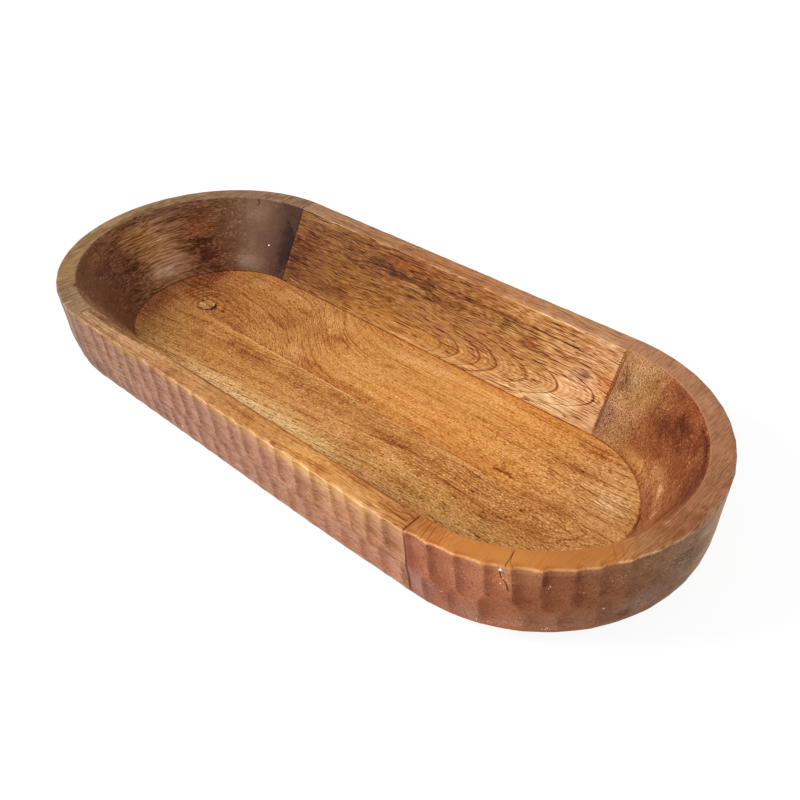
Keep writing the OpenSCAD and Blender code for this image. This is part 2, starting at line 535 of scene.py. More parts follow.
def floor_board(name, side):
    """Mesh of one floor board: side is 1 behind the joint and -1 in front of it."""
    ends = END_X + BOARD_R * np.sin(np.linspace(0, math.pi / 2, END_RINGS))
    middle = np.arange(-END_X + BOARD_STEP, END_X, BOARD_STEP)
    rings = []
    for x in np.concatenate([-ends[::-1], middle, ends]):
        reach = board_reach(x)
        if side < 0 and reach <= -FLOOR_JOINT_Y:
            continue
        joint = max(-reach, FLOOR_JOINT_Y) if side > 0 else FLOOR_JOINT_Y
        y = joint + (side * reach - joint) * np.linspace(0, 1, LANES)
        z = np.insert(BOARD_T + board_relief(x, y), 1, BOARD_T)
        z[0] -= BOARD_EASE
        y = np.insert(y, 1, y[0] + side * BOARD_EASE)
        top = np.stack([x + 0 * y, y, z], axis=1)
        rings.append(np.concatenate([top, (top * (1, 1, 0))[::-1]]))
    last = 2 * LANES + 1
    cap = [(j, j + 1, last - j - 1, last - j) for j in range(LANES)]
    return closed_mesh(name, np.array(rings), cap)


def finish(name, mesh, node, material):
    """The piece of a mesh, with its normals out, its sharp edges crisp and its part in the frame."""
    work = bmesh.new()
    work.from_mesh(mesh)
    bmesh.ops.remove_doubles(work, verts=work.verts, dist=MERGE_REACH)
    bmesh.ops.recalc_face_normals(work, faces=work.faces)
    work.to_mesh(mesh)
    work.free()
    mesh.shade_smooth()
    mesh.set_sharp_from_angle(angle=math.radians(SHARP_ANGLE))
    mesh.materials.append(material)
    piece = bpy.data.objects.new(name, mesh)
    bpy.context.collection.objects.link(piece)
    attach(piece, "root")
    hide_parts(node)


# Shading

RIM, INSIDE, OUTSIDE = 0, 1, 2
# The one face of a board
TOP = 0
# Surface that lies farther from the bowl's axis than the middle of the wall faces outwards
MIDDLE_SLOPE = 0.343
MIDDLE_R = 0.0980
# Heights between which a side passes over into the rim
RIM_EDGE = (BOWL_H - 0.0012, BOWL_H - 0.0004)
# Distance from one face to the next, in a spot's radii, and the distances at which it fades
FACE_APART = 1.2
SPOT_FADE = (0.35, 1.2)
# A line's dark middle as a share of its width, its fading ends as a share of its run, and the
# distances from its own face at which it fades
TRACE_CORE = 0.25
TRACE_EASE = 0.12
TRACE_FADE = (0.3, 0.6)


def linear(colour):
    """A colour written as 0 to 255 per channel, as Blender's linear values."""
    def channel(c):
        c = c / 255
        return c / 12.92 if c <= 0.04045 else ((c + 0.055) / 1.055) ** 2.4

    return tuple(channel(c) for c in colour) + (1.0,)


def grey(level):
    return (level, level, level, 1)


def rows(table):
    """The rows of a table that is kept by face, each with its face put first."""
    return [(face, *row) for face, group in dict(table).items() for row in group]


class Value:
    """An output in a node tree. Sums and products of values add the nodes that work them out."""

    def __init__(self, shade, socket):
        self.shade = shade
        self.socket = socket

    def __add__(self, other):
        return self.shade.math("ADD", self, other)

    def __sub__(self, other):
        return self.shade.math("SUBTRACT", self, other)

    def __rsub__(self, other):
        return self.shade.math("SUBTRACT", other, self)

    def __mul__(self, other):
        return self.shade.math("MULTIPLY", self, other)

    def __abs__(self):
        return self.shade.math("ABSOLUTE", self)


class Shade:
    """The node tree of a material or world, under construction."""

    def __init__(self, owner):
        owner.use_nodes = True
        self.tree = owner.node_tree
        self.tree.nodes.clear()

    def node(self, kind, inputs=(), output=0, **settings):
        """Adds a node with inputs given as values, numbers or vectors, and returns one output."""
        node = self.tree.nodes.new(kind)
        for key, setting in settings.items():
            setattr(node, key, setting)
        for key, value in dict(inputs).items():
            if isinstance(value, Value):
                self.tree.links.new(value.socket, node.inputs[key])
            else:
                node.inputs[key].default_value = value
        return Value(self, node.outputs[output]) if node.outputs else None

    def math(self, operation, a, b=0.0):
        return self.node("ShaderNodeMath", {0: a, 1: b}, operation=operation)

    def most(self, a, b):
        return self.math("MAXIMUM", a, b)

    def least(self, a, b):
        return self.math("MINIMUM", a, b)

    def vector(self, x, y, z=0.0):
        return self.node("ShaderNodeCombineXYZ", {0: x, 1: y, 2: z})

    def scaled(self, vector, scale, shift):
        inputs = {0: vector, 1: scale, 2: shift}
        return self.node("ShaderNodeVectorMath", inputs, operation="MULTIPLY_ADD")

    def size(self, vector):
        return self.node("ShaderNodeVectorMath", {0: vector}, output=1, operation="LENGTH")

    def noise(self, vector, scale, detail, rough=0.5, distortion=0.0):
        inputs = {
            "Vector": vector, "Scale": scale, "Detail": detail,
            "Roughness": rough, "Distortion": distortion,
        }
        return self.node("ShaderNodeTexNoise", inputs)

    def span(self, value, low, high, to_low=0.0, to_high=1.0):
        """Eases a value from low..high to to_low..to_high and holds it there."""
        inputs = {0: value, 1: low, 2: high, 3: to_low, 4: to_high}
        return self.node("ShaderNodeMapRange", inputs, interpolation_type="SMOOTHSTEP")

    def band(self, value, low, high, fall, end):
        """1 from high to fall, easing in from low and out to end."""
        return self.span(value, low, high) * self.span(value, fall, end, 1.0, 0.0)

    def ring_lines(self, field, pitch, levels):
        """A band of levels, as shares of pitch, in each stretch of a field that is pitch long."""
        return self.band(self.math("FRACT", field * (1 / pitch)), *levels)

    def mix(self, share, a, b):
        return self.node("ShaderNodeMix", {0: share, 6: a, 7: b}, output=2, data_type="RGBA")

    def ramp(self, value, stops):
        """The colour at a value, from stops (place, colour)."""
        result = self.node("ShaderNodeValToRGB", {0: value})
        elements = result.socket.node.color_ramp.elements
        while len(elements) < len(stops):
            elements.new(0.5)
        for element, (position, colour) in zip(elements, stops):
            element.position = position
            element.color = colour
        return result

    def slide(self, value, points):
        """The height, at a value, of the broken line through points (value, height)."""
        height = points[0][1]
        for (x_0, y_0), (x_1, y_1) in zip(points, points[1:]):
            inputs = {0: value, 1: x_0, 2: x_1, 3: 0.0, 4: y_1 - y_0}
            height = self.node("ShaderNodeMapRange", inputs) + height
        return height


class Surface(Shade):
    """A material that knows where on its piece it is.

    a is the place along the piece, in mm on a rail or board and in degrees on an end, v the place
    down the wall or across a rim or board in mm, and face the face's number.
    """

    def __init__(self, name, kind):
        self.material = bpy.data.materials.new(name)
        super().__init__(self.material)
        self.place = self.node("ShaderNodeTexCoord", output="Object")
        axes = self.node("ShaderNodeSeparateXYZ", {0: self.place}).socket.node.outputs
        self.x, self.y, self.z = (Value(self, axis) for axis in axes)
        self.radius = self.size(self.vector(self.most(abs(self.x) - END_X, 0.0), self.y))
        self.flat = kind == "floor"
        if self.flat:
            self.a, self.v, self.face = self.x * 1000, self.y * 1000, 0.0
        else:
            self.place_on_wall(kind)
        self.surface = self.vector(self.a, self.v, self.face)

    def place_on_wall(self, kind):
        self.outside = self.math("GREATER_THAN", self.radius, self.z * MIDDLE_SLOPE + MIDDLE_R)
        self.rim = self.span(self.z, *RIM_EDGE)
        if kind == "rail":
            self.a = self.x * 1000
        elif kind == "right":
            self.a = self.math("DEGREES", self.math("ARCTAN2", self.y, self.x - END_X))
        else:
            self.a = 180 - self.math("DEGREES", self.math("ARCTAN2", self.y, -END_X - self.x))
        slope = 1 / math.cos(math.radians(INNER_LEAN))
        down = (BOWL_H - self.z) * (self.outside * (1000 * (1 - slope)) + 1000 * slope)
        out = (self.radius - LIP_R) * 1000
        self.v = self.rim * (out - down) + down
        self.face = (self.outside + 1) * (1 - self.rim)

    def spot(self, face, a, v, radius_a, radius_v):
        """1 inside a soft ragged ellipse on one face and 0 outside it."""
        scale = (1 / radius_a, 1 / radius_v, FACE_APART)
        shift = (-a / radius_a, -v / radius_v, -FACE_APART * face)
        length = self.size(self.scaled(self.surface, scale, shift))
        return self.span(length + self.ragged, *SPOT_FADE, 1.0, 0.0)

    def trace(self, face, path, width, upright):
        """1 on a broken line across one face, fading out at its ends and sides. The path is
        a, v, a, v and so on, and runs along v if it is upright and along a if not."""
        run, height = (self.v, self.a) if upright else (self.a, self.v)
        pairs = zip(path[1::2], path[::2]) if upright else zip(path[::2], path[1::2])
        points = list(pairs)
        first, last = points[0][0], points[-1][0]
        ease = TRACE_EASE * (last - first)
        off = abs(height - self.slide(run, points))
        near = self.span(off, TRACE_CORE * width, width, 1.0, 0.0)
        ends = self.band(run, first, first + ease, last - ease, last)
        off_face = abs(self.math("SUBTRACT", self.face, face))
        here = self.span(off_face, *TRACE_FADE, 1.0, 0.0)
        return near * ends * here

    def by_face(self, values):
        """The value that holds on this face, from one for each."""
        if self.flat:
            return values[TOP]
        sides = self.outside * (values[OUTSIDE] - values[INSIDE]) + values[INSIDE]
        return self.rim * (values[RIM] - sides) + sides

    def tone(self, tones):
        """The colour that holds on this face, from one for each, given along the piece."""
        if self.flat:
            return self.along(tones[TOP])
        sides = self.mix(self.outside, self.along(tones[INSIDE]), self.along(tones[OUTSIDE]))
        return self.mix(self.rim, sides, self.along(tones[RIM]))

    def along(self, stops):
        """A colour that changes along the piece, through stops (a, colour)."""
        first, last = stops[0][0], stops[-1][0]
        share = self.node("ShaderNodeMapRange", {0: self.a, 1: first, 2: last})
        return self.ramp(share, [((a - first) / (last - first), linear(c)) for a, c in stops])


# Wood

# Noises: speed of change along the grain as a share of that across it, then scale, detail and
# roughness
CLOUD = (0.2, 36.0, 3.0, 0.6)
STREAK = (0.045, 240.0, 4.0, 0.65)
LINE = (0.018, 560.0, 2.0, 0.6)
# Noises that change along the grain by a wood's own length, the second at a share of it and
# taken at another level
HAIR = (1500.0, 1.0, 0.5)
DASH = (1350.0, 1.0, 0.5)
DASH_SHARE = 0.4
DASH_LEVEL = 0.3
# Noises alike in all directions, the blotches with a distortion
WAVE = (11.0, 2.0)
WAVE_REACH = 0.012
BLOTCH = (46.0, 4.0, 0.62, 0.6)
DOTS = (900.0, 1.0)
# How far a wood's seed moves its pattern across, as a share of that along
SEED_SLIP = 0.37
# Weights of the clouds, streaks, blotches and lines in the slow part of the grain
SLOW_WEIGHTS = (0.9, 0.6, 0.5, 0.7)
# Weights of the blotches, streaks and hairs in the edges of spots
RAGGED_WEIGHTS = (1.3, 1.3, 1.1)
# Levels of a noise between which pores, painted glints of light and roughness ease in
PORE_LEVELS = (0.57, 0.64)
DOT_LEVELS = (0.63, 0.72)
ROUGH_LEVELS = (0.2, 0.8)
# The same levels and the darkness at each: for thin lines, for the painted shade on steep sides,
# and for worn edges, lightened as wear and as a painted highlight
LINE_SHADE = (0.33, 0.43, 0.35, -0.05)
PAINTED_SHADE_LEVELS = (0.36, 0.64, 0.12, 0.36)
WEAR_AND_HIGHLIGHT_LEVELS = (0.35, 0.6, 0.25, 1.0)
# About how much of a surface pores and the painted shade of steep sides take up, so that they don't darken
# it
PORE_MEAN = 0.14
PAINTED_SHADE_MEAN = 0.25
# Shadow at the floor's edge: width and darkness
EDGE_SHADOW = (0.0016, 0.7)
# How far darkness deepens a colour, how far it dims it, and the least that is left
DEEPEN = 0.6
DIM = 0.5
DIM_LEAST = 0.05
ROUGHNESS = (0.66, 0.52)
BUMP = {"Strength": 0.4, "Distance": 0.0003}
STREAK_RELIEF = 0.5
PORE_RELIEF = 0.7


def wood(
    name, kind, seed, tones, grain="x", hues=(), marks=(), lines=(), uprights=(), glints=(), calm=(),
    figure=None, across=None, fine=(0.5, 1.0, 0.4), coarse=(0.5, 0.9, 0.5), length=0.1, hairs=2.3,
    pored=0.75, gloss=0.2, wear_and_highlight_share=0.3,
):
    """Oiled wood of a rail, a right or left end, or the floor, with its grain along x or y.

    All tables are kept by face. tones has stops (a, colour) along the piece. The rows of hues,
    marks, glints and calm are spots, a, v, radius a, radius v, ending with a share in hundredths:
    how far a colour tints the spot, its darkness, negative where paler, its painted glints of
    light, and how much less grain it has. The rows of lines and uprights, along and
    across the piece, are width, darkness in hundredths, and the path. figure and across are
    functions of the surface: the darkness of its growth rings, and the distance across the
    grain. fine and coarse weigh the grain on each face. The smaller length is, the longer are
    its hairs, and hairs and pored weigh them against the dark pores.
    """
    s = Surface(name, kind)
    run, rise_across = (s.x, s.y) if grain == "x" else (s.y, s.x)
    shifted = s.scaled(s.place, (1, 1, 1), (seed, SEED_SLIP * seed, 0))
    s.wave = s.noise(shifted, *WAVE) - 0.5
    side = (across(s) if across else rise_across) + s.wave * WAVE_REACH
    level = s.z + seed

    def drawn(stretch, *noise, level=level):
        return s.noise(s.vector(run * stretch, side, level), *noise)

    cloud, streak, line_noise, hair = (drawn(*n) for n in (CLOUD, STREAK, LINE, (length, *HAIR)))
    dash = drawn(DASH_SHARE * length, *DASH, level=level + DASH_LEVEL)
    blotch = s.noise(shifted, *BLOTCH)

    def weighed(noises, weights):
        parts = [(noise - 0.5) * weight for noise, weight in zip(noises, weights)]
        return sum(parts[1:], parts[0])

    s.ragged = weighed((blotch, streak, hair), RAGGED_WEIGHTS)
    colour = s.tone(tones)
    for *spot, tint, share in rows(hues):
        colour = s.mix(s.spot(*spot) * (share / 100), colour, linear(tint))
    pores = s.span(dash, *PORE_LEVELS)
    slow = s.span(line_noise, *LINE_SHADE)
    slow = slow - weighed((cloud, streak, blotch, line_noise), SLOW_WEIGHTS)
    quick = (0.5 - hair) * hairs + (pores - PORE_MEAN) * pored
    dark = slow * s.by_face(coarse) + quick * s.by_face(fine)
    for *spot, share in rows(calm):
        dark = dark * (1.0 - s.spot(*spot) * (share / 100))
    if s.flat:
        dark = dark + s.span(s.radius, FLOOR_R - EDGE_SHADOW[0], FLOOR_R, 0.0, EDGE_SHADOW[1])
    else:
        # Painted shade on the cuts' steep left sides, and wear with a painted highlight on the arris
        painted_shade = s.node("ShaderNodeAttribute", output="Fac", attribute_name="painted_shade")
        wear_and_highlight = s.node("ShaderNodeAttribute", output="Fac", attribute_name="wear_and_highlight")
        dark = dark + (painted_shade - PAINTED_SHADE_MEAN) * s.span(blotch, *PAINTED_SHADE_LEVELS)
        dark = dark - wear_and_highlight * s.span(blotch, *WEAR_AND_HIGHLIGHT_LEVELS) * wear_and_highlight_share
    if figure:
        dark = dark + figure(s)
    for *spot, amount in rows(marks):
        dark = dark + s.spot(*spot) * (amount / 100)
    for upright, table in ((False, lines), (True, uprights)):
        for face, width, amount, *path in rows(table):
            dark = dark + s.trace(face, path, width, upright) * (amount / 100)
    # Painted glints of light: specks of the spots lightened where a fine noise is high
    if glints:
        dots = s.span(s.noise(shifted, *DOTS), *DOT_LEVELS)
    for *spot, amount in rows(glints):
        dark = dark - s.spot(*spot) * dots * (amount / 100)
    deep = s.node("ShaderNodeGamma", {0: colour, 1: dark * DEEPEN + 1.0})
    dimmed = {0: deep, 3: s.most(1.0 - dark * DIM, DIM_LEAST)}
    relief = streak * STREAK_RELIEF - pores * PORE_RELIEF
    inputs = {
        "Base Color": s.node("ShaderNodeVectorMath", dimmed, operation="SCALE"),
        "Roughness": s.span(streak, *ROUGH_LEVELS, *ROUGHNESS),
        "Specular IOR Level": gloss,
        "Normal": s.node("ShaderNodeBump", BUMP | {"Height": relief}),
    }
    s.node("ShaderNodeOutputMaterial", {0: s.node("ShaderNodeBsdfPrincipled", inputs)})
    return s.material


# Back rail: arched growth rings that open to the left, their tips along a line near the floor

# Tips of the rings in mm, the darker ones among them, and the darkness of the others
ARCH_RINGS = (18.5, 37, 60, 77, 105, 133, 165)
DARK_RINGS = (77, 133, 165)
PALE_RING = 0.6
RING_REACH = 200
# The line of their tips, as its place down the wall at the middle and its slope, and how they
# open above and below it per square mm
TIP_LINE = (62, -0.1)
RING_OPENING = (0.13, 0.17)
# How far the rings waver in mm, with the wood's wave and with ripples of their own
RING_WAVE = 16
RING_RIPPLE = 6
RIPPLE = (70.0, 3.0, 0.6)
# Fine rings between them: pitch and levels, share of the darkness, and a start to the left of all
FINE_RINGS = (5.3, (0.3, 0.7, 0.75, 0.95))
FINE_SHARE = 0.2
FINE_START = 400
# Where the arches come in, along the rail and down it, their darkness, and how much less outside
ARCHES_ALONG = (-60, 60)
ARCHES_DOWN = (20, 40)
ARCH_DARK = 1.25
OUTSIDE_LESS = 0.65


def arches(s):
    """Darkness of the arches: a line for each ring, and fine paler ones between."""
    drop = s.a * TIP_LINE[1] + TIP_LINE[0] - s.v
    up, low = s.most(drop, 0.0), s.least(drop, 0.0)
    ripple = s.noise(s.place, *RIPPLE) - 0.5
    bend = up * up * RING_OPENING[0] + low * low * RING_OPENING[1]
    field = s.a + bend + (s.wave * RING_WAVE + ripple * RING_RIPPLE)
    stops = [(0.0, grey(0))]
    for ring in ARCH_RINGS:
        peak = 1.0 if ring in DARK_RINGS else PALE_RING
        # A line rises over 1 mm at its left and fades over 2.4 mm at its right
        for off, share in ((-1.0, 0.1), (0.0, peak), (0.4, 0.8 * peak), (2.4, 0.0)):
            stops.append(((ring + off) / RING_REACH, grey(share)))
    lines = s.ramp(field * (1 / RING_REACH), stops)
    lines = lines + s.ring_lines(field + FINE_START, *FINE_RINGS) * FINE_SHARE
    here = s.span(s.a, *ARCHES_ALONG) * s.span(s.v, *ARCHES_DOWN) * (1 - s.rim)
    return lines * ((1.0 - s.outside * OUTSIDE_LESS) * ARCH_DARK) * here


BACK_WOOD = dict(
    kind="rail",
    seed=1.7,
    tones={
        RIM: ((-174, (150, 110, 76)), (-90, (164, 114, 74)), (0, (180, 120, 74)), (174, (178, 124, 84))),
        INSIDE: (
            (-174, (106, 59, 22)), (-120, (120, 71, 27)), (-60, (135, 82, 36)), (0, (148, 94, 43)),
            (60, (169, 110, 55)), (110, (192, 134, 74)), (174, (205, 149, 99)),
        ),
        OUTSIDE: ((-174, (170, 119, 83)), (0, (181, 123, 90)), (174, (174, 116, 85))),
    },
    hues={
        INSIDE: (
            (-75, 50, 62, 20, (156, 102, 36), 55), (0, 62, 90, 9, (177, 114, 44), 60),
            (-35, 9, 36, 8, (136, 67, 15), 60), (-75, 16, 15, 7, (84, 42, 16), 60),
            (-112, 58, 30, 5, (97, 36, 14), 60), (-150, 33, 16, 8, (96, 35, 14), 50),
            (95, 26, 14, 5, (123, 46, 14), 70), (148, 33, 9, 5, (120, 66, 51), 70),
            (170, 34, 9, 16, (199, 112, 42), 60), (132, 62, 34, 8, (208, 164, 109), 85),
            (172, 62, 22, 12, (207, 155, 104), 70), (150, 44, 22, 9, (206, 150, 95), 60),
            (70, 22, 24, 8, (140, 101, 43), 50), (25, 48, 60, 6, (154, 94, 49), 40),
            (-164, 34, 14, 24, (104, 46, 12), 50),
        ),
    },
    marks={
        RIM: ((-20, 4, 170, 3, 20), (92, 4, 26, 4, 15), (-50, 6, 16, 6, 15)),
        INSIDE: (
            (-42, 20, 26, 4, 45), (30, 23, 40, 3, 30), (0, 42, 36, 9, -14), (138, 56, 18, 8, -25),
            (-16, 19, 8, 6, 35), (-85, 50, 30, 3.5, 30), (-55, 44, 16, 3, 25), (-15, 28, 26, 3, 30),
            (16, 28, 16, 2.5, 25), (-60, 16, 26, 4, 10), (10, 12, 150, 17, 14), (-75, 24, 60, 9, 10),
            (60, 54, 90, 14, -20), (-166, 45, 14, 24, 15), (-60, 69, 110, 3, -20), (60, 67, 80, 6, -40),
            (148, 42, 30, 12, -25), (-12, 16, 18, 6, 20), (45, 26, 16, 6, 15), (60, 16, 80, 5, 14),
            (130, 5, 50, 5, 20), (-148, 5, 26, 4, -32), (135, 15, 14, 4, 20), (-104, 16, 18, 4, 15),
        ),
    },
    lines={
        INSIDE: (
            (1.1, 50, -8, 17.8, 40, 15.5, 60, 14, 125, 14.5, 176, 17.5), (1.2, 40, 96, 8, 130, 7, 176, 9),
            (1.6, 40, 76, 29, 100, 30.5, 118, 29), (1.6, 30, -40, 21, -12, 21.5, 10, 28),
            # The first line on this row, pale along the lip, is a painted highlight
            (1.2, -50, -174, 1, 174, 1), (1.2, 30, 92, 22, 140, 23, 172, 30),
            (1, 30, 100, 11, 140, 11, 172, 13), (1.2, 30, -60, 58, 0, 55, 40, 60),
            (1.2, 30, -120, 42, -60, 38, -10, 32),
        ),
    },
    uprights={INSIDE: ((1, 70, -178.8, 0, -177.2, 70), (0.9, 60, 173.6, 0, 173.6, 70))},
    calm={INSIDE: ((125, 44, 80, 50, -35),)},
    fine=(0.5, 0.85, 0.4),
    coarse=(0.4, 0.38, 0.3),
    length=0.09,
    hairs=1.7,
    pored=1.1,
    gloss=0.12,
    figure=arches,
)

# Front rail: seen from outside, with a golden band under its arris
FRONT_WOOD = dict(
    kind="rail",
    seed=3.1,
    tones={
        RIM: (
            (-178, (156, 115, 76)), (-100, (172, 119, 71)), (0, (184, 124, 66)), (90, (196, 128, 59)),
            (174, (176, 108, 50)),
        ),
        INSIDE: ((-174, (201, 135, 77)), (0, (224, 151, 85)), (174, (214, 143, 82))),
        OUTSIDE: (
            (-178, (150, 109, 86)), (-100, (158, 112, 88)), (0, (168, 117, 90)), (90, (172, 118, 86)),
            (174, (176, 117, 85)),
        ),
    },
    hues={
        OUTSIDE: (
            (-120, 2, 70, 5, (176, 128, 67), 80), (-10, 2, 80, 5, (195, 140, 76), 85),
            (100, 3, 90, 9, (208, 150, 82), 90), (120, 20, 50, 18, (191, 131, 81), 50),
            (150, 48, 30, 14, (173, 108, 84), 50), (-150, 30, 36, 24, (148, 105, 74), 50),
        ),
    },
    marks={
        RIM: (
            (55, 15, 3, 2.5, 60), (95, 11, 12, 3.5, 40), (92, 7, 60, 8, -8), (-135, 9, 8, 8, 20),
            (-60, 10, 10, 7, 20), (20, 6, 12, 7, 20), (-140, 3, 60, 3, 55), (-128, 9, 60, 4, -25),
            (138, 12, 40, 5, -28), (-95, 3, 24, 3, -25), (120, 3, 28, 3, 22), (166, 3, 14, 3, 25),
            (-168, 3, 14, 3, 15),
        ),
        OUTSIDE: (
            (-61, 51, 1, 1.8, -90), (-85, 48, 8, 8, 20), (84, 22, 16, 6, 22), (144, 22, 8, 5, 25),
            (161, 22, 7, 6, 25), (80, 9, 110, 7, -13), (-168, 46, 14, 8, 22), (150, 2, 30, 3, -25),
            (-150, 2, 26, 3, 27),
        ),
    },
    lines={
        # The last rim line, dark along the rim's inner edge, is painted shade
        RIM: ((0.9, 60, 145, 8, 172, 9.5), (0.8, 50, 150, 6, 165, 6), (0.9, 45, -174, 0.7, 174, 0.7)),
        OUTSIDE: ((2, 12, -100, 36, 20, 35, 174, 34), (1.6, -30, -50, 1.6, 190, 1.8)),
    },
    uprights={RIM: ((0.5, 70, 173.6, 0, 173.6, 16.5),), OUTSIDE: ((0.6, 80, 173.4, 0, 173.6, 66),)},
    fine=(0.6, 1.0, 0.5),
    coarse=(0.55, 0.6, 0.3),
    length=0.16,
)

RIGHT_WOOD = dict(
    kind="right",
    seed=5.3,
    tones={
        RIM: (
            (-90, (180, 109, 51)), (-80, (196, 120, 53)), (-32, (182, 110, 50)), (-24, (166, 107, 60)),
            (-5, (158, 102, 67)), (45, (160, 105, 70)), (90, (173, 118, 80)),
        ),
        INSIDE: (
            (-90, (166, 101, 56)), (-10, (135, 79, 42)), (12, (127, 69, 35)), (38, (128, 67, 32)),
            (52, (120, 57, 18)), (66, (142, 82, 34)), (78, (160, 109, 59)), (90, (158, 103, 60)),
        ),
        OUTSIDE: (
            (-90, (159, 91, 63)), (-66, (179, 106, 69)), (-54, (160, 91, 53)), (-42, (150, 85, 49)),
            (-30, (148, 92, 56)), (-10, (151, 110, 77)), (8, (185, 146, 110)), (45, (167, 120, 82)),
            (90, (163, 104, 70)),
        ),
    },
    hues={
        RIM: ((-60, 8, 14, 9, (206, 130, 56), 50),),
        INSIDE: (
            (76, 24, 9, 14, (171, 120, 59), 60), (83, 20, 6, 12, (146, 109, 63), 60),
            (87, 54, 7, 12, (138, 94, 68), 70), (58, 64, 12, 6, (182, 122, 61), 70),
            (26, 50, 20, 9, (159, 108, 59), 60), (12, 16, 16, 14, (117, 60, 40), 60),
            (60, 12, 9, 9, (126, 63, 30), 50), (36, 66, 16, 5, (150, 100, 60), 45),
        ),
        OUTSIDE: (
            (-62, 12, 5, 10, (196, 118, 68), 60), (-74, 24, 8, 12, (170, 97, 72), 50),
            (-46, 47, 16, 9, (172, 115, 79), 60), (-22, 46, 9, 10, (163, 128, 107), 70),
            (-86, 46, 7, 16, (168, 118, 100), 75), (-70, 50, 13, 9, (166, 112, 90), 60),
            (-38, 50, 18, 9, (154, 102, 76), 50),
        ),
    },
    marks={
        RIM: ((-10, 8, 8, 10, 20), (-86, 4, 4, 5, 12), (50, 5, 7, 5, -15)),
        INSIDE: (
            (46, 18, 9, 8, 45), (60, 32, 8, 10, 25), (84, 40, 6, 12, -12), (75, 15, 6, 7, 18),
            (64, 5, 9, 6, 20), (3, 27, 8, 9, 20), (14, 24, 14, 10, 12), (24, 6, 18, 5, 15),
            (54, 24, 12, 12, 25), (32, 5, 12, 3, 40), (85, 20, 3, 12, 35), (28, 51, 5, 3, -35),
            (11, 49, 3, 2.5, -30), (36, 18, 7, 8, 15), (46, 27, 5, 6, 15), (4, 16, 12, 20, 10),
            (85, 38, 5, 8, -15), (46, 58, 15, 11, -35), (16, 12, 26, 13, 17), (82, 14, 9, 12, -10),
        ),
        OUTSIDE: (
            (-78, 38, 4, 22, 22), (-60, 10, 14, 8, -13), (-54, 55, 18, 5, -20), (-5, 24, 7, 18, 22),
            (-50.5, 9, 1.1, 9, 40), (-41.5, 25, 2.2, 9, 20), (-42.5, 8, 1.7, 5, 25), (-54, 3, 24, 3, -28),
            (-86, 9, 4, 6, -15), (-5, 20, 5, 12, 20), (-14, 36, 14, 26, 15), (-57, 30, 3.4, 4, 18),
            (-62, 3.6, 0.45, 1.2, -160), (-33.5, 42, 0.5, 1.2, -110), (-27, 52, 2.4, 4, 40),
        ),
    },
    # The first line, dark near the foot of the inner wall, is painted shadow
    lines={INSIDE: ((1.8, 60, 1, 64, 9, 67, 22, 69), (1.2, 25, 79, 30, 86, 40))},
    uprights={
        RIM: (
            (0.22, 100, -58.9, 0, -60, 8, -61.2, 16.5), (0.25, 40, -85.5, 0, -84.5, 16),
            (0.25, 40, -83.5, 0, -82.6, 16), (0.25, 30, -80, 0, -79.4, 16), (0.5, 15, -30.5, 0, -32.5, 16),
            (0.4, 12, -27.5, 0, -30.5, 16), (0.25, 70, -89.8, 0, -89.8, 17),
        ),
        INSIDE: ((0.5, 40, 88, 8, 84, 26), (0.5, 50, 89.3, 0, 89.3, 70)),
        OUTSIDE: ((0.28, 130, -62.2, 3, -61.9, 9, -60.3, 15, -59.7, 22), (0.4, 60, -89.7, 0, -89.7, 66)),
    },
    # Painted glints of light on the outside and inside
    glints={
        INSIDE: ((28, 50, 10, 10, 60), (11, 49, 6, 8, 80)),
        OUTSIDE: (
            (-62, 15, 4, 9, 130), (-49, 17.5, 2.2, 4.5, 180), (-73, 15, 4, 8, 90), (-66, 57, 6, 3, 150),
            (-50, 57, 5, 3, 150), (-57, 50, 5, 5, 80), (-40, 20, 2.5, 6, 130), (-31, 16, 4, 8, 100),
            (-80, 40, 5, 5, 100), (-8, 24, 9, 22, 100),
        ),
    },
    calm={
        RIM: ((-58, 8, 36, 16, 75),),
        INSIDE: ((10, 20, 32, 30, 40), (50, 20, 20, 22, 30), (80, 34, 14, 44, -45)),
    },
    fine=(0.4, 0.78, 0.36),
    coarse=(0.18, 0.6, 0.42),
    wear_and_highlight_share=0.7,
    grain="y",
)

